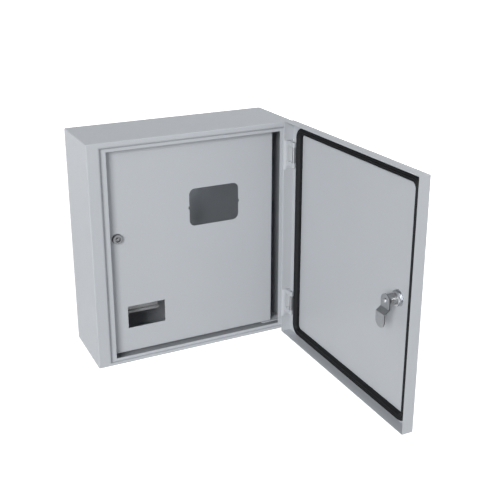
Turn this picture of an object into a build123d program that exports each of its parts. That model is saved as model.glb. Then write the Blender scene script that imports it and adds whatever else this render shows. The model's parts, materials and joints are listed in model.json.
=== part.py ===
"""Wall-mounted sheet-steel meter and distribution enclosure with an inner and an outer door.

The origin is the centre of the four wall holes, on the back face. +Z is up and the
front faces -Y. Sizes are in millimetres. The outer door is built open, as it rests,
and the inner door is built closed.
"""
from build123d import *
import os

# Cabinet
width = 420.0
height = 445.0
depth = 145.0
sheet = 1.2
fold_radius = 2.0
wall_hole_radius = 4.0
wall_hole_spacing_x = 340.0
wall_hole_spacing_z = 365.0

# Front frame, from the cabinet's outline inwards: a flat flange, a rolled edge and a sealing lip
flat_left = 21.3
flat_right = 14.0
flat_top = 7.0
flat_bottom = 4.0
roll_radius = 5.5
bottom_roll_radius = 1.5
lip_set_back = 6.0
lip_left = 11.0
lip_right = 7.0
lip_top = 6.9
lip_bottom = 5.0
cam_slot_margin = 2.5
cam_slot_depth = 8.0

# Outer door, which stands open
door_over_top = 4.4
door_over_bottom = 1.4
door_depth = 21.5
door_gap = 3.2
door_fold_radius = 1.6
gasket_width = 14.0
gasket_height = 9.5
gasket_corner_radius = 22.0
gasket_edge_radius = 2.0
gasket_from_hinge_edge = 25.0
gasket_from_free_edge = 11.0
gasket_from_top = 6.0
gasket_from_bottom = 7.0

# Outer door hinges
hinge_from_end = 64.0
pin_from_side = 10.0
pin_ahead = 20.0
pin_radius = 1.6
knuckle_radius = 3.1
barrel_length = 31.0
ear_height = 9.5
knuckle_gap = 0.4
pin_overhang = 0.8
notch_margin = 4.8
leaf_thickness = 2.0
leaf_reach = 22.0
hinge_base_thickness = 1.6
hinge_base_width = 13.0

# Inner door
inner_sheet = 1.5
inner_set_back = 20.0
inner_flange = 12.0
inner_fold_radius = 2.0
inner_gap_left = 2.7
inner_gap_right = 9.5
inner_gap_top = 1.6
inner_gap_bottom = 2.0
pivot_from_edge = 12.0
pivot_behind_face = 8.0
pivot_radius = 2.5
pivot_head_radius = 4.5
pivot_head_height = 2.0
pivot_pin_reach = 8.0
pivot_tab_thickness = 2.0
pivot_tab_gap = 0.5
pivot_tab_width = 18.0
pivot_tab_overhang = 9.0
pivot_leg_height = 22.0
window_width = 105.0
window_height = 76.0
window_corner_radius = 12.0
window_from_left = 162.9
window_from_bottom = 240.7
window_notch_depth = 2.0
window_notch_height = 6.0
pane_margin = 12.0
pane_thickness = 2.0
stud_radius = 1.5
stud_length = 7.0
stud_from_pane_edge = 5.0
stud_nut_flats = 5.5
stud_nut_height = 2.4
cut_out_width = 77.0
cut_out_height = 46.0
cut_out_corner_radius = 1.0
cut_out_from_left = 28.9
cut_out_from_bottom = 50.4

# Locks
outer_lock_from_free_edge = 60.4
outer_lock_drop = 1.5
outer_lock_radius = 9.5
outer_head_radius = 14.0
outer_head_height = 4.5
outer_plug_radius = 6.5
outer_lock_reach = 24.0
outer_washer_radius = 15.0
outer_washer_thickness = 1.5
outer_nut_flats = 24.0
outer_nut_height = 6.0
outer_cam_length = 46.0
outer_cam_width = 24.0
outer_cam_step = 9.0
outer_cam_step_start = 13.0
outer_cam_step_run = 7.0
inner_lock_from_edge = 14.6
inner_lock_rise = 34.2
inner_lock_radius = 8.0
inner_head_radius = 10.0
inner_head_height = 5.5
inner_plug_radius = 5.5
inner_nut_flats = 19.0
inner_nut_height = 4.0
inner_cam_length = 25.0
inner_cam_width = 16.0
inner_cam_gap = 0.5
cam_thickness = 2.0
plug_stand_out = 1.0
plug_recess = 3.5
drive_side = 7.0
drive_set_back = 0.8
cam_screw_radius = 2.0
cam_screw_depth = 6.0
cam_screw_head_radius = 4.0
cam_screw_head_height = 2.5
cover_radius = 9.0
cover_thickness = 1.5
cover_gap = 0.3
cover_pivot_offset = 10.0
rivet_radius = 1.4
rivet_head_radius = 2.6
rivet_head_height = 1.0

# Inside the cabinet
rail_width = 35.0
rail_web = 25.0
rail_depth = 7.5
rail_sheet = 1.0
rail_length = 88.0
rail_behind_front = 72.0
rail_post_spacing = 60.0
plate_width = 300.0
plate_height = 210.0
plate_thickness = 1.5
plate_behind_front = 100.0
plate_centre_height = 295.0
plate_post_inset = 14.0
meter_slot_length = 12.0
meter_slot_width = 5.0
meter_slot_spacing = 105.0
meter_slot_drop = 140.0
meter_slot_top = 32.0
post_radius = 5.0
screw_radius = 2.0
screw_head_radius = 4.0
screw_head_height = 2.6
screw_depth = 8.0
earth_stud_radius = 3.0
earth_stud_length = 20.0
earth_stud_from_right = 36.0
earth_stud_height = 40.0
earth_nut_flats = 10.0
earth_nut_height = 5.0
earth_nut_gap = 3.0

# Cable entries in the floor of the cabinet
entry_radius = 14.0
entry_spacing = 95.0
entry_from_wall = 62.0
grommet_rim = 3.5
grommet_lip = 2.0
grommet_wall = 2.5
grommet_membrane = 1.2

# Clearances
fixed_fit = 0.05
running_fit = 0.08

# Worked out from the sizes above
frame_left = flat_left + roll_radius + lip_left
frame_right = flat_right + roll_radius + lip_right
frame_top = flat_top + roll_radius + lip_top
frame_bottom = flat_bottom + bottom_roll_radius + lip_bottom
inner_left = frame_left + inner_gap_left
inner_right = width - frame_right - inner_gap_right
inner_bottom = frame_bottom + inner_gap_bottom
inner_top = height - frame_top - inner_gap_top
jamb_depth = inner_set_back + inner_flange
hinge_height = barrel_length + 2 * knuckle_gap + 2 * ear_height
pin_off = door_depth + door_gap - pin_ahead
outer_lock_height = height / 2 - outer_lock_drop
inner_cam_seat = inner_flange + inner_cam_gap

os.makedirs("parts", exist_ok=True)


def across(distance):
    """The x of a point this far from the cabinet's left side."""
    return distance - width / 2


def above(distance):
    """The z of a point this far above the cabinet's underside."""
    return distance - height / 2


def behind(distance):
    """The y of a point this far behind the cabinet's front."""
    return distance - depth


def front_plane(distance):
    """The plane this far behind the cabinet's front, facing forwards."""
    return Plane.XZ.offset(-behind(distance))


def save(piece, name):
    """Label a finished piece and write its file."""
    piece.part.label = name
    export_step(piece.part, f"parts/{name}.step")


# The open outer door's outer face at its hinge edge: x towards the free edge, y up, z inwards
door_face = Plane(
    origin=(across(width - pin_from_side + pin_off), behind(pin_from_side - pin_ahead), 0),
    x_dir=(0, -1, 0),
    z_dir=(-1, 0, 0),
)
# Each lock's axis, on the outer face of its door: x towards the free edge, y up, z inwards
outer_lock_plane = Plane(
    origin=door_face.from_local_coords((width - outer_lock_from_free_edge, above(outer_lock_height), 0)),
    x_dir=(0, -1, 0),
    z_dir=(-1, 0, 0),
)
inner_lock_plane = Plane(
    origin=(
        across(inner_left + inner_lock_from_edge),
        behind(inner_set_back),
        above((inner_bottom + inner_top) / 2 + inner_lock_rise),
    ),
    x_dir=(-1, 0, 0),
    z_dir=(0, 1, 0),
)


def recess(grow):
    """The space ahead of the sealing lip, flared by the rolled edges and grown into the sheet."""
    plan = Plane(origin=(0, behind(0), 0), x_dir=(1, 0, 0), z_dir=(0, 0, 1))
    section = Plane(origin=(0, behind(0), 0), x_dir=(0, 0, 1), z_dir=(-1, 0, 0))
    cuts = (
        (plan, width, flat_left, roll_radius, flat_right, roll_radius, Mode.ADD),
        (section, height, flat_bottom, bottom_roll_radius, flat_top, roll_radius, Mode.INTERSECT),
    )
    with BuildPart() as space:
        for plane, span, low_flat, low_roll, high_flat, high_roll, mode in cuts:
            low = low_flat - span / 2
            high = span / 2 - high_flat
            back = lip_set_back + grow
            with BuildSketch(plane):
                with BuildLine():
                    low_arc = CenterArc((low, low_roll), low_roll - grow, -90, 90)
                    high_arc = CenterArc((high, high_roll), high_roll - grow, 180, 90)
                    low_side = (low + low_roll - grow, back)
                    high_side = (high - high_roll + grow, back)
                    Polyline(low_arc @ 1, low_side, high_side, high_arc @ 0)
                    Line(high_arc @ 1, low_arc @ 0)
                make_face()
            extrude(amount=width + height, both=True, mode=mode)
    return space.part


# Cabinet body: a folded and welded shell with a rolled front frame, a sealing lip and a left jamb
with BuildPart() as cabinet_space:
    with BuildSketch(front_plane(sheet)):
        Rectangle(width - 2 * sheet, height - 2 * sheet)
    extrude(amount=-(depth - 2 * sheet))
    fillet(cabinet_space.edges().filter_by(Axis.Y), fold_radius - sheet)
    add(recess(sheet), mode=Mode.SUBTRACT)

with BuildPart() as cabinet_body:
    with BuildSketch(front_plane(0)):
        Rectangle(width, height)
    extrude(amount=-depth)
    box_edges = cabinet_body.edges().group_by(Axis.Y)
    fillet(box_edges[0] + box_edges[1], fold_radius)
    add(cabinet_space.part, mode=Mode.SUBTRACT)
    add(recess(0), mode=Mode.SUBTRACT)
    with BuildSketch(front_plane(0)):
        with Locations(((frame_left - frame_right) / 2, (frame_bottom - frame_top) / 2)):
            Rectangle(width - frame_left - frame_right, height - frame_bottom - frame_top)
    extrude(amount=-(lip_set_back + 2 * sheet), mode=Mode.SUBTRACT)
    # The left jamb folds back from the lip and holds both latches
    with BuildSketch(front_plane(lip_set_back)):
        with Locations((across(frame_left - sheet / 2), (frame_bottom - frame_top) / 2)):
            Rectangle(sheet, height - frame_bottom - frame_top)
    extrude(amount=-(jamb_depth - lip_set_back))
    slot_low = outer_lock_height - outer_cam_length
    slot_high = outer_lock_height + outer_cam_width / 2 + cam_slot_margin
    with BuildSketch(front_plane(lip_set_back + sheet)):
        with Locations((across(frame_left - sheet / 2), above((slot_low + slot_high) / 2))):
            Rectangle(3 * sheet, slot_high - slot_low)
    extrude(amount=-cam_slot_depth, mode=Mode.SUBTRACT)
    # Four wall holes in the back and three cable entries in the floor
    with BuildSketch(front_plane(depth)):
        with GridLocations(wall_hole_spacing_x, wall_hole_spacing_z, 2, 2):
            Circle(wall_hole_radius)
    extrude(amount=2 * sheet, mode=Mode.SUBTRACT)
    with BuildSketch(Plane.XY.offset(above(0))):
        with Locations((0, -entry_from_wall)):
            with GridLocations(entry_spacing, 0, 3, 1):
                Circle(entry_radius)
    extrude(amount=2 * sheet, mode=Mode.SUBTRACT)
save(cabinet_body, "cabinet_body")


def cable_grommet(x):
    """A rubber grommet with a thin membrane, snapped round the edge of a cable entry."""
    section = Plane(origin=(x, -entry_from_wall, above(0)), x_dir=(1, 0, 0), z_dir=(0, -1, 0))
    neck = entry_radius - fixed_fit
    rim = entry_radius + grommet_rim
    inner = entry_radius - grommet_wall
    low = -fixed_fit
    high = sheet + fixed_fit
    with BuildPart() as grommet:
        with BuildSketch(section):
            with BuildLine():
                Polyline(
                    (0, low - grommet_membrane),
                    (inner, low - grommet_lip),
                    (rim, low - grommet_lip),
                    (rim, low),
                    (neck, low),
                    (neck, high),
                    (rim, high),
                    (rim, high + grommet_lip),
                    (inner, high + grommet_lip),
                    (inner, low),
                    (0, low),
                    close=True,
                )
            make_face()
        revolve(axis=Axis((x, -entry_from_wall, 0), (0, 0, 1)))
    return grommet


for grommet_x, grommet_side in ((-entry_spacing, "left"), (0, "middle"), (entry_spacing, "right")):
    save(cable_grommet(grommet_x), f"cable_grommet_{grommet_side}")


def hinge_bracket(centre):
    """The cabinet's half of an outer door hinge: a base on the flange with two forward ears."""
    pin_x = across(width - pin_from_side)
    pin_y = behind(-pin_ahead)
    with BuildPart() as bracket:
        with BuildSketch(Plane.XY.offset(above(centre))):
            with Locations((pin_x, (pin_y + behind(0)) / 2)):
                Rectangle(2 * knuckle_radius, pin_ahead)
            with Locations((pin_x, pin_y)):
                Circle(knuckle_radius)
        extrude(amount=hinge_height / 2, both=True)
        with BuildSketch(Plane.XY.offset(above(centre))):
            with Locations((pin_x, behind(-hinge_base_thickness - pin_ahead))):
                Rectangle(4 * knuckle_radius, 2 * pin_ahead)
        extrude(amount=barrel_length / 2 + knuckle_gap, both=True, mode=Mode.SUBTRACT)
        with BuildSketch(front_plane(0)):
            with Locations((across(width - flat_right + hinge_base_width / 2), above(centre))):
                RectangleRounded(hinge_base_width, hinge_height, fold_radius)
        extrude(amount=hinge_base_thickness)
        with BuildSketch(Plane.XY.offset(above(centre))):
            with Locations((pin_x, pin_y)):
                Circle(pin_radius + fixed_fit)
        extrude(amount=hinge_height, both=True, mode=Mode.SUBTRACT)
    return bracket


def hinge_pin(centre):
    """The pin of an outer door hinge, fast in the ears and free in the barrel."""
    with BuildPart() as pin:
        with BuildSketch(Plane.XY.offset(above(centre))):
            with Locations((across(width - pin_from_side), behind(-pin_ahead))):
                Circle(pin_radius)
        extrude(amount=hinge_height / 2 + pin_overhang, both=True)
        chamfer(pin.edges().filter_by(GeomType.CIRCLE), pin_radius / 4)
    return pin


def hinge_leaf(centre):
    """The door's half of a hinge: a barrel and a leaf welded to the door's inner face."""
    barrel_x = pin_from_side
    with BuildPart() as leaf:
        with BuildSketch(door_face.offset(sheet)):
            with Locations(((barrel_x + leaf_reach) / 2, above(centre))):
                Rectangle(leaf_reach - barrel_x, barrel_length)
        extrude(amount=leaf_thickness)
        with BuildSketch(Plane.XY.offset(above(centre))):
            with Locations((across(width - pin_from_side), behind(-pin_ahead))):
                Circle(knuckle_radius)
        extrude(amount=barrel_length / 2, both=True)
        with BuildSketch(Plane.XY.offset(above(centre))):
            with Locations((across(width - pin_from_side), behind(-pin_ahead))):
                Circle(pin_radius + running_fit)
        extrude(amount=barrel_length, both=True, mode=Mode.SUBTRACT)
    return leaf


hinge_centres = {"upper": height - hinge_from_end, "lower": hinge_from_end}
for place, centre in hinge_centres.items():
    save(hinge_bracket(centre), f"{place}_hinge_bracket")
    save(hinge_pin(centre), f"{place}_hinge_pin")
    save(hinge_leaf(centre), f"{place}_hinge_leaf")

# Outer door: a tray folded from one sheet, notched where the hinge ears pass its flange
door_low = above(-door_over_bottom)
door_high = above(height + door_over_top)
door_middle = (width / 2, (door_low + door_high) / 2)
door_height = door_high - door_low
with BuildPart() as outer_door_panel:
    with BuildSketch(door_face):
        with Locations(door_middle):
            Rectangle(width, door_height)
    extrude(amount=door_depth)
    tray_edges = outer_door_panel.edges().group_by(Axis.X)
    fillet(tray_edges[-1] + tray_edges[1], door_fold_radius)
    with BuildSketch(door_face.offset(sheet)):
        with Locations(door_middle):
            RectangleRounded(width - 2 * sheet, door_height - 2 * sheet, door_fold_radius - sheet)
    extrude(amount=door_depth, mode=Mode.SUBTRACT)
    for centre in hinge_centres.values():
        with BuildSketch(door_face.offset(sheet)):
            with Locations((0, above(centre))):
                Rectangle(4 * sheet, hinge_height + 2 * notch_margin)
        extrude(amount=door_depth, mode=Mode.SUBTRACT)
    with BuildSketch(outer_lock_plane):
        Circle(outer_lock_radius + fixed_fit)
    extrude(amount=2 * sheet, mode=Mode.SUBTRACT)
save(outer_door_panel, "outer_door_panel")

# Door gasket: a foam ring on the door's inner face
gasket_x = (gasket_from_hinge_edge, width - gasket_from_free_edge)
gasket_z = (door_low + gasket_from_bottom, door_high - gasket_from_top)
gasket_span = (gasket_x[1] - gasket_x[0], gasket_z[1] - gasket_z[0])
with BuildPart() as door_gasket:
    with BuildSketch(door_face.offset(sheet)):
        with Locations((sum(gasket_x) / 2, sum(gasket_z) / 2)):
            RectangleRounded(*gasket_span, gasket_corner_radius)
            RectangleRounded(
                gasket_span[0] - 2 * gasket_width,
                gasket_span[1] - 2 * gasket_width,
                gasket_corner_radius - gasket_width,
                mode=Mode.SUBTRACT,
            )
    extrude(amount=gasket_height)
    fillet(door_gasket.faces().sort_by(Axis.X)[0].edges(), gasket_edge_radius)
save(door_gasket, "door_gasket")


def axial(plane):
    """The half-plane through a lock's axis: x outwards from the axis, y inwards along it."""
    return Plane(origin=plane.origin, x_dir=plane.x_dir, z_dir=-plane.y_dir)


def lock_housing(plane, head_radius, head_height, radius, reach, plug_radius):
    """A turned and bored lock housing: a domed head outside the sheet and a barrel through it."""
    bore = plug_radius + running_fit
    bevel = (head_radius - radius) / 2
    with BuildPart() as housing:
        with BuildSketch(axial(plane)):
            with BuildLine():
                Polyline(
                    (bore, -head_height),
                    (head_radius - bevel, -head_height),
                    (head_radius, -head_height / 3),
                    (head_radius, 0),
                    (radius, 0),
                    (radius, reach),
                    (bore, reach),
                    close=True,
                )
            make_face()
        revolve(axis=Axis(plane.origin, plane.z_dir))
    return housing


def lock_nut(plane, start, flats, thickness, radius):
    """The hexagon nut that holds a lock housing to its door."""
    with BuildPart() as nut:
        with BuildSketch(plane.offset(start)):
            RegularPolygon(flats / 2, 6, major_radius=False)
            Circle(radius + fixed_fit, mode=Mode.SUBTRACT)
        extrude(amount=thickness)
    return nut


def lock_plug(plane, head_height, radius, seat):
    """The turning plug: a triangular drive in its recess, and a tapped end for the cam."""
    face = plug_recess - head_height
    with BuildPart() as plug:
        with BuildSketch(plane.offset(face)):
            Circle(radius)
        extrude(amount=seat - face)
        with BuildSketch(plane.offset(face)):
            RegularPolygon(drive_side / 2, 3)
        extrude(amount=drive_set_back - plug_recess)
        with BuildSketch(plane.offset(seat)):
            Circle(cam_screw_radius + fixed_fit)
        extrude(amount=-cam_screw_depth - fixed_fit, mode=Mode.SUBTRACT)
    return plug


def lock_cam(plane, seat, length, cam_width, step, step_start, step_run):
    """A latch cam that hangs from its plug, stepped inwards where it must reach past a lip."""
    side = Plane(origin=plane.origin, x_dir=plane.y_dir, z_dir=plane.x_dir)
    half = cam_width / 2
    with BuildPart() as cam:
        with BuildSketch(side):
            with BuildLine():
                near = seat + cam_thickness
                Polyline(
                    (half, seat),
                    (-step_start, seat),
                    (-step_start - step_run, seat + step),
                    (-length, seat + step),
                    (-length, near + step),
                    (-step_start - step_run, near + step),
                    (-step_start, near),
                    (half, near),
                    close=True,
                )
            make_face()
        extrude(amount=half, both=True)
        with BuildSketch(plane):
            with Locations((0, (half - length) / 2)):
                RectangleRounded(cam_width, length + half, half - fixed_fit)
        extrude(amount=near + step, mode=Mode.INTERSECT)
        with BuildSketch(plane):
            Circle(cam_screw_radius + fixed_fit)
        extrude(amount=near + step, mode=Mode.SUBTRACT)
    return cam


def cam_screw(plane, seat):
    """The pan-head screw that fastens a cam to its plug."""
    with BuildPart() as screw:
        with BuildSketch(plane.offset(seat - cam_screw_depth)):
            Circle(cam_screw_radius)
        extrude(amount=cam_screw_depth + cam_thickness)
        with BuildSketch(plane.offset(seat + cam_thickness)):
            Circle(cam_screw_head_radius)
        extrude(amount=cam_screw_head_height)
        head_edge = screw.edges().filter_by(GeomType.CIRCLE).sort_by(Axis(plane.origin, plane.z_dir))[-1]
        fillet(head_edge, cam_screw_head_height / 2)
    return screw


# Outer lock
outer_seat = outer_lock_reach + plug_stand_out
outer_nut_start = sheet + outer_washer_thickness
save(
    lock_housing(
        outer_lock_plane,
        outer_head_radius,
        outer_head_height,
        outer_lock_radius,
        outer_lock_reach,
        outer_plug_radius,
    ),
    "outer_lock_housing",
)
with BuildPart() as outer_lock_washer:
    with BuildSketch(outer_lock_plane.offset(sheet)):
        Circle(outer_washer_radius)
        Circle(outer_lock_radius + fixed_fit, mode=Mode.SUBTRACT)
    extrude(amount=outer_washer_thickness)
save(outer_lock_washer, "outer_lock_washer")
save(
    lock_nut(outer_lock_plane, outer_nut_start, outer_nut_flats, outer_nut_height, outer_lock_radius),
    "outer_lock_nut",
)
save(lock_plug(outer_lock_plane, outer_head_height, outer_plug_radius, outer_seat), "outer_lock_plug")
save(
    lock_cam(
        outer_lock_plane,
        outer_seat,
        outer_cam_length,
        outer_cam_width,
        outer_cam_step,
        outer_cam_step_start,
        outer_cam_step_run,
    ),
    "outer_lock_cam",
)
save(cam_screw(outer_lock_plane, outer_seat), "outer_cam_screw")

# Keyhole cover: a drop plate that turns on a rivet in the lock's head
cover_face = -outer_head_height - cover_gap
with BuildPart() as keyhole_cover:
    with BuildSketch(outer_lock_plane.offset(cover_face)):
        with BuildLine():
            Polyline((-cover_radius, 0), (0, cover_pivot_offset), (cover_radius, 0), close=True)
        make_face()
        Circle(cover_radius)
        with Locations((0, cover_pivot_offset)):
            Circle(rivet_head_radius)
            Circle(rivet_radius + running_fit, mode=Mode.SUBTRACT)
    extrude(amount=-cover_thickness)
save(keyhole_cover, "keyhole_cover")
rivet_top = cover_face - cover_thickness - cover_gap
with BuildPart() as cover_rivet:
    with BuildSketch(outer_lock_plane.offset(-outer_head_height)):
        with Locations((0, cover_pivot_offset)):
            Circle(rivet_radius)
    extrude(amount=rivet_top + outer_head_height)
    with BuildSketch(outer_lock_plane.offset(rivet_top)):
        with Locations((0, cover_pivot_offset)):
            Circle(rivet_head_radius)
    extrude(amount=-rivet_head_height)
save(cover_rivet, "cover_rivet")

# Inner door: a folded tray with a window, a cut-out for modular devices and two pivot holes
inner_width = inner_right - inner_left
inner_height = inner_top - inner_bottom
inner_middle = (across((inner_left + inner_right) / 2), above((inner_bottom + inner_top) / 2))
window_middle = (
    across(inner_left + window_from_left + window_width / 2),
    above(inner_bottom + window_from_bottom + window_height / 2),
)
cut_out_middle = (
    across(inner_left + cut_out_from_left + cut_out_width / 2),
    above(inner_bottom + cut_out_from_bottom + cut_out_height / 2),
)
pivot_x = across(inner_right - pivot_from_edge)
pivot_y = behind(inner_set_back + pivot_behind_face)
pane_back = inner_set_back + inner_sheet + pane_thickness
stud_spacing_x = window_width + 2 * pane_margin - 2 * stud_from_pane_edge
stud_spacing_z = window_height + 2 * pane_margin - 2 * stud_from_pane_edge
with BuildPart() as inner_door_panel:
    with BuildSketch(front_plane(inner_set_back)):
        with Locations(inner_middle):
            Rectangle(inner_width, inner_height)
    extrude(amount=-inner_flange)
    tray_edges = inner_door_panel.edges().group_by(Axis.Y)
    fillet(tray_edges[0] + tray_edges[1], inner_fold_radius)
    with BuildSketch(front_plane(inner_set_back + inner_sheet)):
        with Locations(inner_middle):
            RectangleRounded(
                inner_width - 2 * inner_sheet,
                inner_height - 2 * inner_sheet,
                inner_fold_radius - inner_sheet,
            )
    extrude(amount=-inner_flange, mode=Mode.SUBTRACT)
    with BuildSketch(front_plane(inner_set_back)):
        with Locations(window_middle):
            RectangleRounded(window_width, window_height, window_corner_radius)
            Rectangle(window_width + 2 * window_notch_depth, window_notch_height)
        with Locations(cut_out_middle):
            RectangleRounded(cut_out_width, cut_out_height, cut_out_corner_radius)
    extrude(amount=-2 * inner_sheet, mode=Mode.SUBTRACT)
    with BuildSketch(inner_lock_plane):
        Circle(inner_lock_radius + fixed_fit)
    extrude(amount=2 * inner_sheet, mode=Mode.SUBTRACT)
    with BuildSketch():
        with Locations((pivot_x, pivot_y)):
            Circle(pivot_radius + running_fit)
    extrude(amount=height, both=True, mode=Mode.SUBTRACT)
save(inner_door_panel, "inner_door_panel")

with BuildPart() as window_pane:
    with BuildSketch(front_plane(inner_set_back + inner_sheet)):
        with Locations(window_middle):
            Rectangle(window_width + 2 * pane_margin, window_height + 2 * pane_margin)
            with GridLocations(stud_spacing_x, stud_spacing_z, 2, 2):
                Circle(stud_radius + fixed_fit, mode=Mode.SUBTRACT)
    extrude(amount=-pane_thickness)
save(window_pane, "window_pane")

with BuildPart() as window_studs:
    with BuildSketch(front_plane(inner_set_back + inner_sheet)):
        with Locations(window_middle):
            with GridLocations(stud_spacing_x, stud_spacing_z, 2, 2):
                Circle(stud_radius)
    extrude(amount=-stud_length)
save(window_studs, "window_studs")

with BuildPart() as window_nuts:
    with BuildSketch(front_plane(pane_back)):
        with Locations(window_middle):
            with GridLocations(stud_spacing_x, stud_spacing_z, 2, 2):
                RegularPolygon(stud_nut_flats / 2, 6, major_radius=False)
                Circle(stud_radius + fixed_fit, mode=Mode.SUBTRACT)
    extrude(amount=-stud_nut_height)
save(window_nuts, "window_nuts")

# Inner lock, whose cam passes behind the door's own flange and the jamb
inner_lock_reach = inner_cam_seat - plug_stand_out
save(
    lock_housing(
        inner_lock_plane,
        inner_head_radius,
        inner_head_height,
        inner_lock_radius,
        inner_lock_reach,
        inner_plug_radius,
    ),
    "inner_lock_housing",
)
save(
    lock_nut(inner_lock_plane, inner_sheet, inner_nut_flats, inner_nut_height, inner_lock_radius),
    "inner_lock_nut",
)
save(lock_plug(inner_lock_plane, inner_head_height, inner_plug_radius, inner_cam_seat), "inner_lock_plug")
with BuildPart() as inner_lock_cam:
    with BuildSketch(inner_lock_plane.offset(inner_cam_seat)):
        with Locations((0, (inner_cam_width / 2 - inner_cam_length) / 2)):
            RectangleRounded(
                inner_cam_width,
                inner_cam_length + inner_cam_width / 2,
                inner_cam_width / 2 - fixed_fit,
            )
        Circle(cam_screw_radius + fixed_fit, mode=Mode.SUBTRACT)
    extrude(amount=cam_thickness)
save(inner_lock_cam, "inner_lock_cam")
save(cam_screw(inner_lock_plane, inner_cam_seat), "inner_cam_screw")


def pivot_bracket(door_edge, outwards):
    """An angle bracket on the side wall that carries one of the inner door's pivots."""
    face = above(door_edge) + outwards * pivot_tab_gap
    wall = across(width - sheet)
    tab_left = pivot_x - pivot_tab_overhang
    leg = -outwards * pivot_leg_height
    with BuildPart() as bracket:
        with BuildSketch(Plane.XY.offset(face)):
            with Locations(((tab_left + wall) / 2, pivot_y)):
                Rectangle(wall - tab_left, pivot_tab_width)
        extrude(amount=outwards * pivot_tab_thickness)
        with BuildSketch(Plane.XY.offset(face)):
            with Locations((wall - pivot_tab_thickness / 2, pivot_y)):
                Rectangle(pivot_tab_thickness, pivot_tab_width)
        extrude(amount=leg)
        with BuildSketch(Plane.XY.offset(face)):
            with Locations((pivot_x, pivot_y)):
                Circle(pivot_radius + fixed_fit)
        extrude(amount=outwards * pivot_tab_thickness, mode=Mode.SUBTRACT)
        corner = bracket.edges().filter_by(Axis.Z).group_by(Axis.X)[0]
        fillet(corner, pivot_tab_width / 4)
    return bracket


def pivot_pin(door_edge, outwards):
    """A headed pivot pin, fast in its bracket, that the inner door turns on."""
    face = above(door_edge) + outwards * (pivot_tab_gap + pivot_tab_thickness)
    with BuildPart() as pin:
        with BuildSketch(Plane.XY.offset(face)):
            with Locations((pivot_x, pivot_y)):
                Circle(pivot_head_radius)
        extrude(amount=outwards * pivot_head_height)
        with BuildSketch(Plane.XY.offset(face)):
            with Locations((pivot_x, pivot_y)):
                Circle(pivot_radius)
        extrude(amount=-outwards * (pivot_tab_gap + pivot_tab_thickness + pivot_pin_reach))
    return pin


for place, door_edge, outwards in (("upper", inner_top, 1), ("lower", inner_bottom, -1)):
    save(pivot_bracket(door_edge, outwards), f"{place}_pivot_bracket")
    save(pivot_pin(door_edge, outwards), f"{place}_pivot_pin")


def spaced_posts(locations, front):
    """Round posts from the back wall forwards, each tapped for a screw."""
    with BuildPart() as posts:
        with BuildSketch(front_plane(front)):
            with Locations(*locations):
                Circle(post_radius)
        extrude(amount=-(depth - sheet - front))
        with BuildSketch(front_plane(front)):
            with Locations(*locations):
                Circle(screw_radius + fixed_fit)
        extrude(amount=-screw_depth - fixed_fit, mode=Mode.SUBTRACT)
    return posts


def post_screws(locations, seat, grip):
    """Pan-head screws into the posts, through a part of this thickness."""
    with BuildPart() as screws:
        with BuildSketch(front_plane(seat)):
            with Locations(*locations):
                Circle(screw_head_radius)
        extrude(amount=screw_head_height)
        with BuildSketch(front_plane(seat)):
            with Locations(*locations):
                Circle(screw_radius)
        extrude(amount=-(grip + screw_depth))
    return screws


# Mounting plate for the meter, behind the window
plate_middle = (0, above(plate_centre_height))
plate_post_spacing_x = plate_width - 2 * plate_post_inset
plate_post_spacing_z = plate_height - 2 * plate_post_inset
plate_posts = [
    (plate_middle[0] + side * plate_post_spacing_x / 2, plate_middle[1] + end * plate_post_spacing_z / 2)
    for side in (-1, 1)
    for end in (-1, 1)
]
meter_top_slot = (plate_middle[0], plate_middle[1] + plate_height / 2 - meter_slot_top)
meter_slots = [
    (meter_top_slot[0] + side * meter_slot_spacing / 2, meter_top_slot[1] - meter_slot_drop)
    for side in (-1, 1)
]
with BuildPart() as mounting_plate:
    with BuildSketch(front_plane(plate_behind_front)):
        with Locations(plate_middle):
            RectangleRounded(plate_width, plate_height, fold_radius)
        with Locations(*plate_posts):
            Circle(screw_radius + fixed_fit, mode=Mode.SUBTRACT)
        with Locations(*meter_slots):
            SlotOverall(meter_slot_length, meter_slot_width, mode=Mode.SUBTRACT)
        with Locations(meter_top_slot):
            SlotOverall(meter_slot_length, meter_slot_width, rotation=90, mode=Mode.SUBTRACT)
    extrude(amount=-plate_thickness)
save(mounting_plate, "mounting_plate")
save(spaced_posts(plate_posts, plate_behind_front + plate_thickness), "plate_posts")
save(post_screws(plate_posts, plate_behind_front, plate_thickness), "plate_screws")

# Top-hat rail behind the cut-out, with its lips forwards
rail_back = rail_behind_front + rail_depth
rail_posts = [(cut_out_middle[0] + side * rail_post_spacing / 2, cut_out_middle[1]) for side in (-1, 1)]
rail_end = Plane(
    origin=(cut_out_middle[0], behind(rail_behind_front), cut_out_middle[1]),
    x_dir=(0, 0, 1),
    z_dir=(-1, 0, 0),
)
with BuildPart() as din_rail:
    with BuildSketch(rail_end):
        with BuildLine():
            Polyline(
                (-rail_width / 2, 0),
                (-rail_web / 2, 0),
                (-rail_web / 2, rail_depth - rail_sheet),
                (rail_web / 2, rail_depth - rail_sheet),
                (rail_web / 2, 0),
                (rail_width / 2, 0),
                (rail_width / 2, rail_sheet),
                (rail_web / 2 + rail_sheet, rail_sheet),
                (rail_web / 2 + rail_sheet, rail_depth),
                (-rail_web / 2 - rail_sheet, rail_depth),
                (-rail_web / 2 - rail_sheet, rail_sheet),
                (-rail_width / 2, rail_sheet),
                close=True,
            )
        make_face()
    extrude(amount=rail_length / 2, both=True)
    with BuildSketch(front_plane(rail_back)):
        with Locations(*rail_posts):
            Circle(screw_radius + fixed_fit)
    extrude(amount=2 * rail_sheet, mode=Mode.SUBTRACT)
save(din_rail, "din_rail")
save(spaced_posts(rail_posts, rail_back), "rail_posts")
save(post_screws(rail_posts, rail_back - rail_sheet, rail_sheet), "rail_screws")

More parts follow.
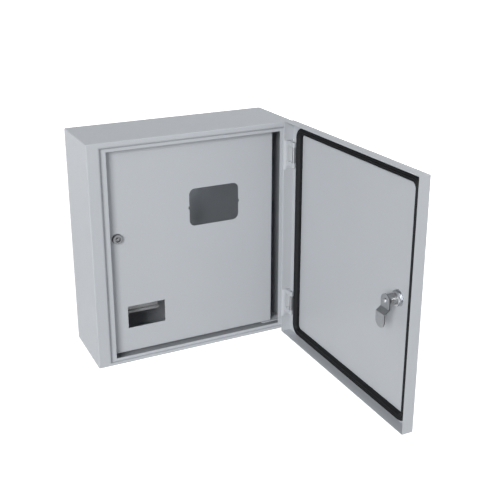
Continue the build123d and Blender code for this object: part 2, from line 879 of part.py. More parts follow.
# Earth stud on the back wall, with a nut against the wall and one for the conductor
earth_place = (across(width - earth_stud_from_right), above(earth_stud_height))
with BuildPart() as earth_stud:
    with BuildSketch(front_plane(depth - sheet)):
        with Locations(earth_place):
            Circle(earth_stud_radius)
    extrude(amount=earth_stud_length)
    chamfer(earth_stud.edges().sort_by(Axis.Y)[0], earth_stud_radius / 6)
save(earth_stud, "earth_stud")
with BuildPart() as earth_nuts:
    for nut_start in (0, earth_nut_height + earth_nut_gap):
        with BuildSketch(front_plane(depth - sheet - nut_start)):
            with Locations(earth_place):
                RegularPolygon(earth_nut_flats / 2, 6, major_radius=False)
                Circle(earth_stud_radius + fixed_fit, mode=Mode.SUBTRACT)
        extrude(amount=earth_nut_height)
save(earth_nuts, "earth_nuts")
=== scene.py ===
import json
import math
import bmesh
import bpy
from mathutils import Matrix, Vector


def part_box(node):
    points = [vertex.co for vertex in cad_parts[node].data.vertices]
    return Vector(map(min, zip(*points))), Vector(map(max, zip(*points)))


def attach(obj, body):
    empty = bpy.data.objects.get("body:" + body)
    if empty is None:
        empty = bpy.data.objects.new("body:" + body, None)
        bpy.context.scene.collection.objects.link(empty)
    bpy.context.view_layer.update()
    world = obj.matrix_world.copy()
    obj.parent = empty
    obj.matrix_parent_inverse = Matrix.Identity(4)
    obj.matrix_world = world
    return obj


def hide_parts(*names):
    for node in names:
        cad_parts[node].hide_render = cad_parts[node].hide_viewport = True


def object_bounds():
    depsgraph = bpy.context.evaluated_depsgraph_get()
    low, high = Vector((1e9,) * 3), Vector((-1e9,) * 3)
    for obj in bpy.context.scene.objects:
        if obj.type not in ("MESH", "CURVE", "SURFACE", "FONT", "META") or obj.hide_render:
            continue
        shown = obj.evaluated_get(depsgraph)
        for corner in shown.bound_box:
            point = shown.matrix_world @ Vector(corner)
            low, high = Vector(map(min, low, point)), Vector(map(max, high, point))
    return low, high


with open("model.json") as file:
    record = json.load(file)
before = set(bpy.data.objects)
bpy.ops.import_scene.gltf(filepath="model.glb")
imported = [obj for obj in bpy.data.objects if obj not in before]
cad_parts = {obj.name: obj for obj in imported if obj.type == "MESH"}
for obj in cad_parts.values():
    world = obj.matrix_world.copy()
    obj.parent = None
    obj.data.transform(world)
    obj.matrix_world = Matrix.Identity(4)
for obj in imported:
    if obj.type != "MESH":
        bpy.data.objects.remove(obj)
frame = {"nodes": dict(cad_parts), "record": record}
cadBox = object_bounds()   # the CAD box, before anything is added
nodes = frame["nodes"]
mm = 0.001
print("frame loaded")


# node helpers, for materials and for geometry alike
def addNode(tree, kind, inputs=None, **settings):
    # one node, with its settings, its fixed inputs and its links
    node = tree.nodes.new(kind)
    for key, value in settings.items():
        setattr(node, key, value)
    for socket, value in (inputs or {}).items():
        if isinstance(value, bpy.types.NodeSocket):
            tree.links.new(value, node.inputs[socket])
        else:
            node.inputs[socket].default_value = value
    return node


def newFinish(name, values):
    # a material's tree and its shader, with the plain values set on the sockets
    material = bpy.data.materials.new(name)
    material.use_nodes = True
    shader = material.node_tree.nodes["Principled BSDF"]
    for socket, value in values.items():
        shader.inputs[socket].default_value = value
    return material, material.node_tree, shader


def objectPoint(tree):
    return addNode(tree, "ShaderNodeTexCoord").outputs["Object"]


def noiseAt(tree, point, scale, detail=2, roughness=0.5):
    inputs = {"Vector": point, "Scale": scale, "Detail": detail, "Roughness": roughness}
    return addNode(tree, "ShaderNodeTexNoise", inputs).outputs["Fac"]


# where most values of a noise lie, for a soft and for a crisp pattern
softRange = (0.3, 0.7)
crispRange = (0.35, 0.65)


def spread(tree, value, low, high, toLow, toHigh):
    # maps a value from one range to another
    inputs = {
        "Value": value, "From Min": low, "From Max": high, "To Min": toLow, "To Max": toHigh,
    }
    return addNode(tree, "ShaderNodeMapRange", inputs).outputs["Result"]


def mixedColour(tree, factor, first, second):
    # a colour between two, by a factor from 0 to 1
    mix = addNode(tree, "ShaderNodeMix", {"Factor": factor}, data_type="RGBA")
    for index, colour in ((6, first), (7, second)):
        if isinstance(colour, bpy.types.NodeSocket):
            tree.links.new(colour, mix.inputs[index])
        else:
            mix.inputs[index].default_value = (*colour, 1)
    return mix.outputs[2]


def bumpFrom(tree, shader, height, strength, depth):
    inputs = {"Height": height, "Strength": strength, "Distance": depth}
    bump = addNode(tree, "ShaderNodeBump", inputs)
    tree.links.new(bump.outputs["Normal"], shader.inputs["Normal"])


# powder coat: a pale grey with soft clouds, fine specks and a slight orange peel
powderCoat = {
    "colour": (0.462, 0.484, 0.512),
    "paler": (0.498, 0.520, 0.548),
    "roughness": (0.36, 0.48),
    "specular": 0.28,
    "cloudScale": 9,
    "cloudReach": (0.25, 0.75),
    "speckScale": 1500,
    "speckShare": 0.5,
    "peelScale": 560,
    "peelStrength": 0.5,
    "peelDepth": 0.10 * mm,
}


def makePowderCoat(look):
    material, tree, shader = newFinish("powderCoat", {"Specular IOR Level": look["specular"]})
    point = objectPoint(tree)
    cloudNoise = noiseAt(tree, point, look["cloudScale"], detail=4)
    cloud = spread(tree, cloudNoise, *softRange, *look["cloudReach"])
    speck = spread(tree, noiseAt(tree, point, look["speckScale"]), *crispRange, 0, 1)
    clouded = mixedColour(tree, cloud, look["colour"], look["paler"])
    specked = mixedColour(tree, speck, look["colour"], look["paler"])
    colour = mixedColour(tree, look["speckShare"], clouded, specked)
    tree.links.new(colour, shader.inputs["Base Color"])
    peel = noiseAt(tree, point, look["peelScale"], detail=1)
    gloss = spread(tree, peel, *softRange, *look["roughness"])
    tree.links.new(gloss, shader.inputs["Roughness"])
    bumpFrom(tree, shader, peel, look["peelStrength"], look["peelDepth"])
    return material


# bare metals: each has a fine grain that changes its colour, gloss and surface
metals = {
    "zincPlate": {
        "colour": (0.55, 0.565, 0.585),
        "darker": (0.50, 0.515, 0.535),
        "roughness": (0.32, 0.40),
        "grain": 750,
        "depth": 0.03 * mm,
    },
    "castZinc": {
        "colour": (0.52, 0.525, 0.535),
        "darker": (0.40, 0.405, 0.415),
        "roughness": (0.24, 0.38),
        "grain": 620,
        "depth": 0.04 * mm,
    },
    "darkZinc": {
        "colour": (0.25, 0.255, 0.265),
        "darker": (0.16, 0.165, 0.175),
        "roughness": (0.30, 0.46),
        "grain": 620,
        "depth": 0.05 * mm,
    },
    "dullZinc": {
        "colour": (0.36, 0.37, 0.385),
        "darker": (0.28, 0.29, 0.305),
        "roughness": (0.36, 0.50),
        "grain": 620,
        "depth": 0.04 * mm,
    },
    "railZinc": {
        "colour": (0.60, 0.61, 0.62),
        "darker": (0.50, 0.51, 0.52),
        "roughness": (0.42, 0.58),
        "grain": 500,
        "depth": 0.03 * mm,
        "metallic": 0.5,
    },
    "brass": {
        "colour": (0.72, 0.56, 0.28),
        "darker": (0.58, 0.42, 0.19),
        "roughness": (0.24, 0.40),
        "grain": 300,
        "depth": 0.04 * mm,
    },
}
metalGrain = {"detail": 4, "roughness": 0.6, "bump": 0.3}


def makeMetal(name):
    look = metals[name]
    material, tree, shader = newFinish(name, {"Metallic": look.get("metallic", 1.0)})
    point = objectPoint(tree)
    grain = noiseAt(tree, point, look["grain"], metalGrain["detail"], metalGrain["roughness"])
    factor = spread(tree, grain, *crispRange, 0, 1)
    colour = mixedColour(tree, factor, look["darker"], look["colour"])
    tree.links.new(colour, shader.inputs["Base Color"])
    low, high = look["roughness"]
    gloss = spread(tree, grain, *crispRange, high, low)   # the paler grains shine more
    tree.links.new(gloss, shader.inputs["Roughness"])
    bumpFrom(tree, shader, grain, metalGrain["bump"], look["depth"])
    return material


# foam skin of the door seal, and the rubber of the cable entries
blacks = {
    "foamSkin": {
        "colour": (0.004, 0.0045, 0.005),
        "paler": (0.010, 0.011, 0.013),
        "roughness": (0.46, 0.62),
    },
    "entryRubber": {
        "colour": (0.016, 0.016, 0.017),
        "paler": (0.032, 0.032, 0.034),
        "roughness": (0.5, 0.65),
    },
}
blackGrain = {"specular": 0.2, "pores": 900, "clouds": 110, "bump": 0.5, "depth": 0.15 * mm}


def makeBlack(name):
    look = blacks[name]
    material, tree, shader = newFinish(name, {"Specular IOR Level": blackGrain["specular"]})
    point = objectPoint(tree)
    pores = addNode(tree, "ShaderNodeTexVoronoi", {"Vector": point, "Scale": blackGrain["pores"]})
    clouds = noiseAt(tree, point, blackGrain["clouds"], detail=3)
    cloud = spread(tree, clouds, *softRange, 0, 1)
    colour = mixedColour(tree, cloud, look["colour"], look["paler"])
    tree.links.new(colour, shader.inputs["Base Color"])
    gloss = spread(tree, cloud, 0, 1, *look["roughness"])
    tree.links.new(gloss, shader.inputs["Roughness"])
    bumpFrom(tree, shader, pores.outputs["Distance"], blackGrain["bump"], blackGrain["depth"])
    return material


# window pane: a clear sheet with a slight haze
clearPane = {
    "colour": (0.50, 0.53, 0.56, 1),
    "bending": 1.49,
    "clearness": 0.9,
    "roughness": (0.05, 0.12),
    "haze": 60,
}


def makePane(look):
    values = {
        "Base Color": look["colour"],
        "IOR": look["bending"],
        "Transmission Weight": look["clearness"],
    }
    material, tree, shader = newFinish("clearPane", values)
    haze = noiseAt(tree, objectPoint(tree), look["haze"], detail=3)
    gloss = spread(tree, haze, *softRange, *look["roughness"])
    tree.links.new(gloss, shader.inputs["Roughness"])
    return material


finishes = {
    "powder_coat": makePowderCoat(powderCoat),
    "zinc_plate": makeMetal("zincPlate"),
    "lock_zinc": makeMetal("castZinc"),
    "earth_brass": makeMetal("brass"),
    "foam_seal": makeBlack("foamSkin"),
    "entry_rubber": makeBlack("entryRubber"),
    "clear_pane": makePane(clearPane),
}
for subpart in frame["record"]["subparts"]:
    node = nodes[subpart["node"]]
    node.data.materials.clear()
    node.data.materials.append(finishes[subpart["material_slot"]])

# these parts get zincs of their own: darker and duller ones, and a paler, rougher one for the rail
zincVariants = {
    "darkZinc": ("inner_lock_housing", "inner_lock_plug"),
    "dullZinc": (
        "outer_lock_cam", "inner_lock_cam", "upper_hinge_leaf", "lower_hinge_leaf",
        "upper_hinge_pin", "lower_hinge_pin",
    ),
    "railZinc": ("din_rail", "rail_posts"),
}
for metalName, nodeNames in zincVariants.items():
    zincVariant = makeMetal(metalName)
    for nodeName in nodeNames:
        nodes[nodeName].data.materials[0] = zincVariant
print("finishes made")


# geometry helpers
def newTree(name, sizes):
    # a geometry tree with a named input for each size, the repeated part and the finish
    tree = bpy.data.node_groups.new(name, "GeometryNodeTree")
    kinds = {"Geometry": "Geometry", **dict.fromkeys(sizes, "Float")}
    kinds.update(Part="Object", Finish="Material")
    for socketName, kind in kinds.items():
        tree.interface.new_socket(socketName, in_out="INPUT", socket_type="NodeSocket" + kind)
    tree.interface.new_socket("Geometry", in_out="OUTPUT", socket_type="NodeSocketGeometry")
    return tree, addNode(tree, "NodeGroupInput").outputs


def closeTree(tree, geometry, finish):
    real = addNode(tree, "GeometryNodeRealizeInstances", {"Geometry": geometry})
    inputs = {"Geometry": real.outputs[0], "Material": finish}
    dressed = addNode(tree, "GeometryNodeSetMaterial", inputs)
    addNode(tree, "NodeGroupOutput", {"Geometry": dressed.outputs[0]})


def newObject(name, mesh):
    thing = bpy.data.objects.new(name, mesh)
    bpy.context.scene.collection.objects.link(thing)
    return thing


def plainMesh(thing, name):
    # the evaluated object's mesh, once its modifiers are worked out
    bpy.context.view_layer.update()
    shown = thing.evaluated_get(bpy.context.evaluated_depsgraph_get())
    mesh = bpy.data.meshes.new_from_object(shown)
    mesh.name = name
    bpy.data.objects.remove(thing)
    return mesh


def grow(tree, name, values, start=None):
    # runs a geometry tree once and gives its mesh
    source = newObject(name + "Source", start or bpy.data.meshes.new(name + "Start"))
    modifier = source.modifiers.new("shape", "NODES")
    modifier.node_group = tree
    for item in tree.interface.items_tree:
        if item.in_out == "INPUT" and item.name in values:
            modifier[item.identifier] = values[item.name]
    return plainMesh(source, name)


def facing(across, along):
    # the turn that stands a mesh's z axis along a direction
    x, z = Vector(across), Vector(along)
    return Matrix((x, z.cross(x), z)).transposed().to_4x4()


def addPiece(name, mesh, body, slot, standsFor=()):
    mesh.materials.clear()
    mesh.materials.append(finishes[slot])
    piece = newObject(name, mesh)
    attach(piece, body)
    if standsFor:
        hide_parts(*standsFor)


def meshFrom(shape, name):
    mesh = bpy.data.meshes.new(name)
    shape.to_mesh(mesh)
    shape.free()
    return mesh


def smoothMesh(mesh, angle=35):
    # rounds the shading, except at edges sharper than the angle in degrees
    mesh.shade_smooth()
    mesh.set_sharp_from_angle(angle=math.radians(angle))


def turnedMesh(name, outline, sides):
    # a turned solid from an outline of (radius, height), from the bottom pole to the top one
    shape = bmesh.new()
    rings = []
    for radius, height in outline:
        angles = [2 * math.pi * step / sides for step in range(sides if radius else 1)]
        places = [(radius * math.cos(angle), radius * math.sin(angle), height) for angle in angles]
        rings.append([shape.verts.new(place) for place in places])
    for low, high in zip(rings, rings[1:]):
        for step in range(sides):
            corners = [ring[turn % len(ring)] for ring, turn in (
                (low, step), (low, step + 1), (high, step + 1), (high, step),
            )]
            shape.faces.new(list(dict.fromkeys(corners)))   # at a pole two corners are one
    bmesh.ops.recalc_face_normals(shape, faces=shape.faces)
    return meshFrom(shape, name)


# fasteners, each made once and repeated on points: lengths are in millimetres, rises and the
# chamfer's angle in radians, and the rim, the taper and the chamfer's start are shares
panScrew = {
    "head": 4.0,
    "headHeight": 2.6,
    "foot": 3.88,
    "rim": 0.35,
    "rises": (0, 0.35, 0.7, 1.05, 1.35),
    "shank": 2.0,
    "shankLength": 4.0,
    "crossLength": 5.0,
    "crossWidth": 1.0,
    "crossDepth": 1.5,
    "crossTaper": 0.35,
    "sides": 40,
}
camScrew = dict(panScrew, headHeight=2.5)
hexNut = {"sides": 48, "room": 0.03, "chamferStart": 0.94, "chamferAngle": math.radians(30)}


def screwMesh(look):
    # a domed head with a cross recess, on a short shank
    head, height, rim = look["head"] * mm, look["headHeight"] * mm, look["rim"]
    dome = [
        (head * math.cos(rise), height * (rim + (1 - rim) * math.sin(rise)))
        for rise in look["rises"]
    ]
    foot, shank, tip = look["foot"] * mm, look["shank"] * mm, -look["shankLength"] * mm
    outline = [(0, tip), (shank, tip), (shank, 0), (foot, 0), *dome, (0, height)]
    screw = newObject("screwBlank", turnedMesh("screwBlank", outline, look["sides"]))
    barSize = (look["crossLength"] * mm, look["crossWidth"] * mm, 2 * look["crossDepth"] * mm)
    cross = bmesh.new()
    for turn in (0, 90):
        bar = bmesh.ops.create_cube(cross, size=1)["verts"]
        bmesh.ops.scale(cross, vec=barSize, verts=bar)
        for corner in bar:
            if corner.co.z < 0:
                corner.co.x *= look["crossTaper"]   # the recess narrows towards its point
        quarter = Matrix.Rotation(math.radians(turn), 3, "Z")
        bmesh.ops.rotate(cross, cent=(0, 0, 0), matrix=quarter, verts=bar)
        bmesh.ops.translate(cross, vec=(0, 0, height), verts=bar)
    cutter = newObject("crossCutter", meshFrom(cross, "crossCutter"))
    cut = screw.modifiers.new("cross", "BOOLEAN")
    cut.object = cutter
    cut.operation = "DIFFERENCE"
    cut.use_self = True
    mesh = plainMesh(screw, "screw")
    bpy.data.objects.remove(cutter)
    smoothMesh(mesh)
    return mesh


def nutMesh(name, flats, height, bore):
    # a hexagon nut whose corners are turned down to a cone at both ends
    apothem = flats / 2
    start = apothem * hexNut["chamferStart"]
    halfFlat = math.pi / 6   # half the turn that a flat takes up
    shape = bmesh.new()
    rings = [[] for _ in range(6)]   # one for each corner of the section
    for step in range(hexNut["sides"]):
        angle = 2 * math.pi * step / hexNut["sides"]
        within = (angle + halfFlat) % (2 * halfFlat) - halfFlat
        corner = apothem / math.cos(halfFlat - abs(within))
        drop = (corner - start) * math.tan(hexNut["chamferAngle"])
        places = (
            (bore, 0), (start, 0), (corner, drop),
            (corner, height - drop), (start, height), (bore, height),
        )
        for ring, (radius, z) in zip(rings, places):
            ring.append(shape.verts.new((radius * math.cos(angle), radius * math.sin(angle), z)))
    for low, high in zip(rings, rings[1:] + rings[:1]):
        for step in range(len(low)):
            after = (step + 1) % len(low)
            shape.faces.new((low[step], low[after], high[after], high[step]))
    bmesh.ops.recalc_face_normals(shape, faces=shape.faces)
    mesh = meshFrom(shape, name)
    smoothMesh(mesh, angle=20)
    return mesh


def makeRepeatTree():
    # the part, stood on each point of the start mesh
    tree, given = newTree("repeatOnPoints", ["Size"])
    part = addNode(tree, "GeometryNodeObjectInfo", {"Object": given["Part"]})
    inputs = {
        "Points": given["Geometry"],
        "Instance": part.outputs["Geometry"],
        "Scale": given["Size"],
    }
    placed = addNode(tree, "GeometryNodeInstanceOnPoints", inputs)
    closeTree(tree, placed.outputs[0], given["Finish"])
    return tree


repeatTree = makeRepeatTree()


def repeatPart(name, partMesh, spots, stand, body, slot, standsFor=()):
    # copies of a part at spots of the shared frame, all turned one way and in one mesh
    points = bpy.data.meshes.new(name + "Points")
    points.from_pydata([stand.inverted() @ Vector(spot) for spot in spots], [], [])
    part = newObject(name + "Part", partMesh)
    values = {"Part": part, "Size": 1.0, "Finish": finishes[slot]}
    mesh = grow(repeatTree, name, values, points)
    bpy.data.objects.remove(part)
    mesh.transform(stand)
    addPiece(name, mesh, body, slot, standsFor)


def cornersOf(nodeName, y, insetX, insetZ):
    # the middles of the pieces of a node that stand at its box's corners
    low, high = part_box(nodeName)
    xs = (low.x + insetX, high.x - insetX)
    zs = sorted({round(low.z + insetZ, 6), round(high.z - insetZ, 6)})
    return [(x, y, z) for x in xs for z in zs]


forwards = facing((1, 0, 0), (0, -1, 0))
backwards = facing((-1, 0, 0), (0, 1, 0))
leftwards = facing((0, -1, 0), (-1, 0, 0))

# pan-head screws of the mounting plate, the rail and the two latches
for nodeName, pieceName in (("plate_screws", "plateScrewHeads"), ("rail_screws", "railScrewHeads")):
    low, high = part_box(nodeName)
    seat = low.y + panScrew["headHeight"] * mm
    spots = cornersOf(nodeName, seat, panScrew["head"] * mm, panScrew["head"] * mm)
    repeatPart(pieceName, screwMesh(panScrew), spots, forwards, "cabinet", "zinc_plate", [nodeName])
headHeight = camScrew["headHeight"] * mm
low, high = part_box("outer_cam_screw")
middle = (low + high) / 2
repeatPart(
    "outerLatchScrew", screwMesh(camScrew), [(low.x + headHeight, middle.y, middle.z)],
    leftwards, "outer_latch", "zinc_plate", ["outer_cam_screw"],
)
low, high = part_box("inner_cam_screw")
middle = (low + high) / 2
repeatPart(
    "innerLatchScrew", screwMesh(camScrew), [(middle.x, high.y - headHeight, middle.z)],
    backwards, "inner_latch", "zinc_plate", ["inner_cam_screw"],
)
print("screws made")

# chamfered nuts, in millimetres, each with a hair of room round its stud's radius
nutSizes = {
    "outer_lock_nut": {"flats": 24, "height": 6, "stud": 9.5},
    "inner_lock_nut": {"flats": 19, "height": 4, "stud": 8},
    "window_nuts": {"flats": 5.5, "height": 2.4, "stud": 1.5},
    "earth_nuts": {"flats": 10, "height": 5, "stud": 3},
}


def nutFor(nodeName):
    size = nutSizes[nodeName]
    bore = (size["stud"] + hexNut["room"]) * mm
    return nutMesh(nodeName + "Part", size["flats"] * mm, size["height"] * mm, bore)


low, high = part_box("outer_lock_nut")
middle = (low + high) / 2
repeatPart(
    "outerLockNut", nutFor("outer_lock_nut"), [(high.x, middle.y, middle.z)], leftwards,
    "outer_door", "zinc_plate", ["outer_lock_nut"],
)
low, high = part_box("inner_lock_nut")
middle = (low + high) / 2
repeatPart(
    "innerLockNut", nutFor("inner_lock_nut"), [(middle.x, low.y, middle.z)], backwards,
    "inner_door", "zinc_plate", ["inner_lock_nut"],
)
low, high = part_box("window_nuts")
flat = nutSizes["window_nuts"]["flats"] / 2 * mm
spots = cornersOf("window_nuts", low.y, flat / math.cos(math.pi / 6), flat)
repeatPart(
    "windowNuts", nutFor("window_nuts"), spots, backwards,
    "inner_door", "zinc_plate", ["window_nuts"],
)
low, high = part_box("earth_nuts")
middle = (low + high) / 2
frontSeat = low.y + nutSizes["earth_nuts"]["height"] * mm
spots = [(middle.x, high.y, middle.z), (middle.x, frontSeat, middle.z)]
repeatPart(
    "earthNuts", nutFor("earth_nuts"), spots, forwards,
    "cabinet", "earth_brass", ["earth_nuts"],
)
print("nuts made")

# threads, in millimetres: rings on each threaded barrel and stud, which start past the nut and
# leave a bare length at the tip
threads = {
    "outerLockThread": {"radius": 9.5, "pitch": 1.8, "depth": 0.62, "start": 0.8, "bare": 1.2},
    "innerLockThread": {"radius": 8.0, "pitch": 1.0, "depth": 0.30, "start": 0.8, "bare": 1.2},
    "windowStudThreads": {"radius": 1.5, "pitch": 0.5, "depth": 0.16, "start": 0.4, "bare": 0.6},
    "earthStudThread": {"radius": 3.0, "pitch": 1.0, "depth": 0.26, "start": 0.6, "bare": 1.4},
}


def makeThreadTree():
    tree, given = newTree("threadRings", ["Radius", "Pitch", "Turns", "Depth"])
    step = addNode(tree, "ShaderNodeCombineXYZ", {"Z": given["Pitch"]})
    inputs = {"Count": given["Turns"], "Offset": step.outputs[0]}
    line = addNode(tree, "GeometryNodeMeshLine", inputs)
    inputs = {"Resolution": 40, "Radius": given["Radius"]}
    circle = addNode(tree, "GeometryNodeCurvePrimitiveCircle", inputs)
    inputs = {"Resolution": 3, "Radius": given["Depth"]}   # a three-sided crest
    crest = addNode(tree, "GeometryNodeCurvePrimitiveCircle", inputs)
    inputs = {"Curve": circle.outputs[0], "Profile Curve": crest.outputs[0]}
    ring = addNode(tree, "GeometryNodeCurveToMesh", inputs)
    inputs = {"Points": line.outputs[0], "Instance": ring.outputs[0]}
    placed = addNode(tree, "GeometryNodeInstanceOnPoints", inputs)
    closeTree(tree, placed.outputs[0], given["Finish"])
    return tree


threadTree = makeThreadTree()


def addThread(name, starts, stand, length, body, slot):
    # rings from each start on; the length is that from the nut to the tip
    look = threads[name]
    turns = int((length - look["bare"] * mm) / (look["pitch"] * mm))
    values = {
        "Radius": look["radius"] * mm,
        "Pitch": look["pitch"] * mm,
        "Turns": float(turns),
        "Depth": look["depth"] * mm,
        "Finish": finishes[slot],
    }
    mesh = grow(threadTree, name + "Ring", values)
    repeatPart(name, mesh, starts, stand, body, slot)


low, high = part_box("outer_lock_housing")
middle = (low + high) / 2
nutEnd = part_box("outer_lock_nut")[0].x
start = nutEnd - threads["outerLockThread"]["start"] * mm
addThread(
    "outerLockThread", [(start, middle.y, middle.z)], leftwards, nutEnd - low.x,
    "outer_door", "lock_zinc",
)
low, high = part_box("inner_lock_housing")
middle = (low + high) / 2
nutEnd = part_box("inner_lock_nut")[1].y
start = nutEnd + threads["innerLockThread"]["start"] * mm
addThread(
    "innerLockThread", [(middle.x, start, middle.z)], backwards, high.y - nutEnd,
    "inner_door", "lock_zinc",
)
low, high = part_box("window_studs")
radius = threads["windowStudThreads"]["radius"] * mm
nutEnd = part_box("window_nuts")[1].y
start = nutEnd + threads["windowStudThreads"]["start"] * mm
addThread(
    "windowStudThreads", cornersOf("window_studs", start, radius, radius), backwards,
    high.y - nutEnd, "inner_door", "zinc_plate",
)
low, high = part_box("earth_stud")
middle = (low + high) / 2
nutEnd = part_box("earth_nuts")[0].y
start = nutEnd - threads["earthStudThread"]["start"] * mm
addThread(
    "earthStudThread", [(middle.x, start, middle.z)], forwards, nutEnd - low.y,
    "cabinet", "zinc_plate",
)
print("threads made")

# rivets through the leaves of the outer door's hinges, in millimetres
leafRivets = {
    "radius": 2.0,
    "height": 0.9,
    "rises": (0, 0.4, 0.8, 1.2),
    "sunk": 0.2,
    "sides": 24,
    "leafThickness": 2.0,
    "fromEdge": 4.5,
    "fromMiddle": 9,
}
hingeRivets = {"upper_hinge_leaf": "upperHingeRivets", "lower_hinge_leaf": "lowerHingeRivets"}


def rivetMesh(look):
    radius, height, foot = look["radius"] * mm, look["height"] * mm, -look["sunk"] * mm
    dome = [(radius * math.cos(rise), height * math.sin(rise)) for rise in look["rises"]]
    mesh = turnedMesh("rivetHead", [(0, foot), (radius, foot), *dome, (0, height)], look["sides"])
    smoothMesh(mesh)
    return mesh


for nodeName, pieceName in hingeRivets.items():
    low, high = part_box(nodeName)
    middle = (low + high) / 2
    face = high.x - leafRivets["leafThickness"] * mm   # the leaf lies on the door's inner face
    across = low.y + leafRivets["fromEdge"] * mm
    apart = leafRivets["fromMiddle"] * mm
    spots = [(face, across, middle.z + offset) for offset in (-apart, apart)]
    repeatPart(pieceName, rivetMesh(leafRivets), spots, leftwards, "outer_door", "zinc_plate")
print("rivets made")

# door seal: a foam bead with a ridged skin that wanders a little along its path; its lengths are
# in millimetres, and swell, ridges and fullness shape its section
doorSeal = {
    "width": 13.9,
    "height": 9.4,
    "corner": 15.0,
    "clearance": 0.1,
    "wander": 0.6,
    "wanderScale": 22.0,
    "seed": 4.0,
    "swell": 0.10,
    "ridges": 9.6,
    "fullness": 0.18,
    "step": 2.0,
}


def makeSealTree():
    sizes = [
        "Length", "Height", "Corner", "Bead Width", "Bead Height", "Wander", "Wander Scale",
        "Seed", "Swell", "Ridges", "Fullness", "Step",
    ]
    tree, given = newTree("sealBead", sizes)

    def maths(operation, first, second=0.0):
        inputs = {0: first, 1: second}
        return addNode(tree, "ShaderNodeMath", inputs, operation=operation).outputs[0]

    def vectorMaths(operation, inputs):
        return addNode(tree, "ShaderNodeVectorMath", inputs, operation=operation).outputs[0]

    # the path is a rounded rectangle that wanders a little within its plane
    inputs = {"Width": given["Length"], "Height": given["Height"]}
    path = addNode(tree, "GeometryNodeCurvePrimitiveQuadrilateral", inputs)
    inputs = {"Curve": path.outputs[0], "Radius": given["Corner"], "Count": 12}
    rounded = addNode(tree, "GeometryNodeFilletCurve", inputs, mode="POLY")
    inputs = {"Curve": rounded.outputs[0], "Length": given["Step"]}
    fine = addNode(tree, "GeometryNodeResampleCurve", inputs, mode="LENGTH")
    place = addNode(tree, "GeometryNodeInputPosition").outputs[0]
    inputs = {"Vector": place, "W": given["Seed"], "Scale": given["Wander Scale"], "Detail": 2.0}
    waver = addNode(tree, "ShaderNodeTexNoise", inputs, noise_dimensions="4D").outputs["Color"]
    centred = vectorMaths("SUBTRACT", {0: waver, 1: (0.5, 0.5, 0.5)})
    sized = vectorMaths("SCALE", {0: centred, "Scale": given["Wander"]})
    flat = vectorMaths("MULTIPLY", {0: sized, 1: (1, 1, 0)})
    inputs = {"Geometry": fine.outputs[0], "Offset": flat}
    wandered = addNode(tree, "GeometryNodeSetPosition", inputs)
    inputs = {"Curve": wandered.outputs[0]}
    upright = addNode(tree, "GeometryNodeSetCurveNormal", inputs, mode="Z_UP")

    # the section has a flat foot, steep sides and a full back with shallow grooves
    inputs = {"Resolution": 44, "Radius": 1.0}
    circle = addNode(tree, "GeometryNodeCurvePrimitiveCircle", inputs)
    place = addNode(tree, "GeometryNodeInputPosition").outputs[0]
    parts = addNode(tree, "ShaderNodeSeparateXYZ", {0: place}).outputs
    wide = maths("MULTIPLY", parts["X"], maths("DIVIDE", given["Bead Width"], 2.0))
    dome = maths("POWER", maths("MAXIMUM", parts["Y"], 0.0), given["Fullness"])
    ridges = maths("COSINE", maths("MULTIPLY", parts["X"], given["Ridges"]))
    swelled = maths("MULTIPLY", ridges, given["Swell"])
    lift = maths("ADD", swelled, maths("SUBTRACT", 1.0, given["Swell"]))
    tall = maths("MULTIPLY", maths("MULTIPLY", dome, lift), given["Bead Height"])
    section = addNode(tree, "ShaderNodeCombineXYZ", {"X": wide, "Y": tall})
    inputs = {"Geometry": circle.outputs[0], "Position": section.outputs[0]}
    shaped = addNode(tree, "GeometryNodeSetPosition", inputs)
    inputs = {"Curve": upright.outputs[0], "Profile Curve": shaped.outputs[0]}
    bead = addNode(tree, "GeometryNodeCurveToMesh", inputs)
    closeTree(tree, bead.outputs[0], given["Finish"])
    return tree


low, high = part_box("door_gasket")
middle = (low + high) / 2
beadInset = (doorSeal["width"] / 2 + doorSeal["clearance"]) * mm
sealValues = {
    "Length": high.y - low.y - 2 * beadInset,
    "Height": high.z - low.z - 2 * beadInset,
    "Corner": doorSeal["corner"] * mm,
    "Bead Width": (doorSeal["width"] - doorSeal["wander"]) * mm,
    "Bead Height": doorSeal["height"] * mm,
    "Wander": doorSeal["wander"] * mm,
    "Wander Scale": doorSeal["wanderScale"],
    "Seed": doorSeal["seed"],
    "Swell": doorSeal["swell"],
    "Ridges": doorSeal["ridges"],
    "Fullness": doorSeal["fullness"],
    "Step": doorSeal["step"] * mm,
    "Finish": finishes["foam_seal"],
}
sealMesh = grow(makeSealTree(), "sealBead", sealValues)
sealMesh.transform(Matrix.Rotation(math.pi, 4, "X"))   # the sweep puts the bead below its foot
sealMesh.transform(Matrix.Translation((high.x, middle.y, middle.z)) @ leftwards)
smoothMesh(sealMesh, angle=60)
addPiece("doorSeal", sealMesh, "outer_door", "foam_seal", ["door_gasket"])
print("door seal made")


# camera, at the photograph's viewing angle
cameraPlace = {
    "at": (-0.585828, -1.542227, 0.587498),
    "yaw": math.radians(24.445),
    "pitch": math.radians(18.549),
    "roll": math.radians(-0.638),
    "lens": 60.144,
    "shift": (0.06, -0.09),
}


def makeCamera(place):
    data = bpy.data.cameras.new("camera")
    data.lens = place["lens"]
    data.shift_x, data.shift_y = place["shift"]
    camera = newObject("camera", data)
    yaw, pitch, roll = place["yaw"], place["pitch"], place["roll"]
    reach = math.cos(pitch)
    ahead = Vector((math.sin(yaw) * reach, math.cos(yaw) * reach, -math.sin(pitch)))
    level = Vector((math.cos(yaw), -math.sin(yaw), 0))
    upright = level.cross(ahead)
    right = level * math.cos(roll) + upright * math.sin(roll)
    up = upright * math.cos(roll) - level * math.sin(roll)
    turn = Matrix((right, up, -ahead)).transposed()
    camera.matrix_world = Matrix.Translation(place["at"]) @ turn.to_4x4()
    bpy.context.scene.camera = camera


makeCamera(cameraPlace)

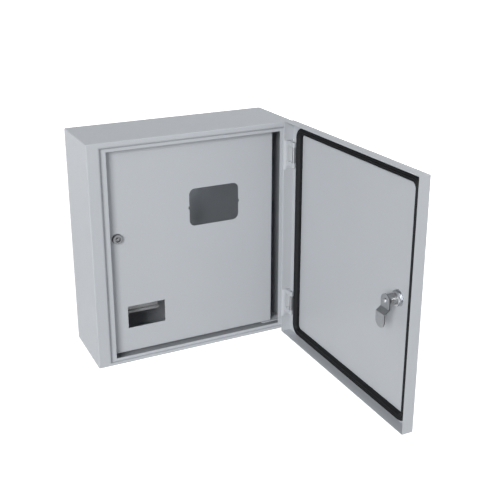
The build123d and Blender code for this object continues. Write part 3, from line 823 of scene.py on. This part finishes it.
# floor and light, in metres and watts
floorLook = {
    "drop": 0.45,
    "size": 60,
    "colour": (0.9, 0.9, 0.9, 1),
    "roughness": 0.9,
    "glow": (0.30, 0.95),
    "reach": (1.7, 4.5),
}
skyLook = {
    "colour": (0.97, 0.985, 1.0, 1),
    "reach": (-0.6, 0.6),
    "strength": (0.09, 0.36),
    "horizon": 0.75,
    "horizonRise": (0.08, 0.26),
}
softboxes = {
    "keySoftbox": {"at": (-4.7, -4.8, 2.4), "aim": (0.05, -0.2, -0.05), "size": 3.0, "power": 412},
    "frontSoftbox": {"at": (1.1, -4.5, 0.5), "aim": (0.1, -0.1, -0.1), "size": 1.8, "power": 14},
    "topSoftbox": {"at": (0.4, 0.9, 2.6), "aim": (0, -0.1, 0.1), "size": 1.8, "power": 6},
    "rearSoftbox": {"at": (4.2, 1.8, 1.5), "aim": (0.1, -0.2, 0), "size": 2.4, "power": 165},
}


def makeFloor(look, low):
    half = look["size"] / 2
    z = low - look["drop"]
    mesh = bpy.data.meshes.new("floor")
    corners = [(-half, -half, z), (half, -half, z), (half, half, z), (-half, half, z)]
    mesh.from_pydata(corners, [], [(0, 1, 2, 3)])
    values = {
        "Base Color": look["colour"],
        "Roughness": look["roughness"],
        "Emission Color": (1, 1, 1, 1),
    }
    material, tree, shader = newFinish("paleFloor", values)
    away = addNode(tree, "ShaderNodeVectorMath", {0: objectPoint(tree)}, operation="LENGTH")
    # it glows more far from the softboxes, so that it stays white
    glow = spread(tree, away.outputs["Value"], *look["reach"], *look["glow"])
    tree.links.new(glow, shader.inputs["Emission Strength"])
    mesh.materials.append(material)
    floor = newObject("floor", mesh)
    floor.visible_diffuse = False   # the floor throws no light up at the object


def makeSky(look):
    # a sky that is dim below, brighter above and white round the horizon
    world = bpy.data.worlds.new("sky")
    bpy.context.scene.world = world
    world.use_nodes = True
    tree = world.node_tree
    background = tree.nodes["Background"]
    background.inputs["Color"].default_value = look["colour"]
    direction = addNode(tree, "ShaderNodeTexCoord").outputs["Generated"]
    rise = addNode(tree, "ShaderNodeSeparateXYZ", {0: direction}).outputs["Z"]
    plain = spread(tree, rise, *look["reach"], *look["strength"])
    height = addNode(tree, "ShaderNodeMath", {0: rise}, operation="ABSOLUTE").outputs[0]
    # the band where the floor ends
    band = spread(tree, height, *look["horizonRise"], look["horizon"], 0)
    strength = addNode(tree, "ShaderNodeMath", {0: plain, 1: band}, operation="ADD")
    tree.links.new(strength.outputs[0], background.inputs["Strength"])


def makeSoftbox(name, look):
    data = bpy.data.lights.new(name, "AREA")
    data.size = look["size"]
    data.energy = look["power"]
    lamp = newObject(name, data)
    lamp.location = look["at"]
    ahead = Vector(look["aim"]) - Vector(look["at"])
    lamp.rotation_euler = ahead.to_track_quat("-Z", "Y").to_euler()


makeFloor(floorLook, cadBox[0].z)
makeSky(skyLook)
for lightName, lightLook in softboxes.items():
    makeSoftbox(lightName, lightLook)
bpy.context.scene.view_settings.view_transform = "Standard"
print("camera, floor and light made")
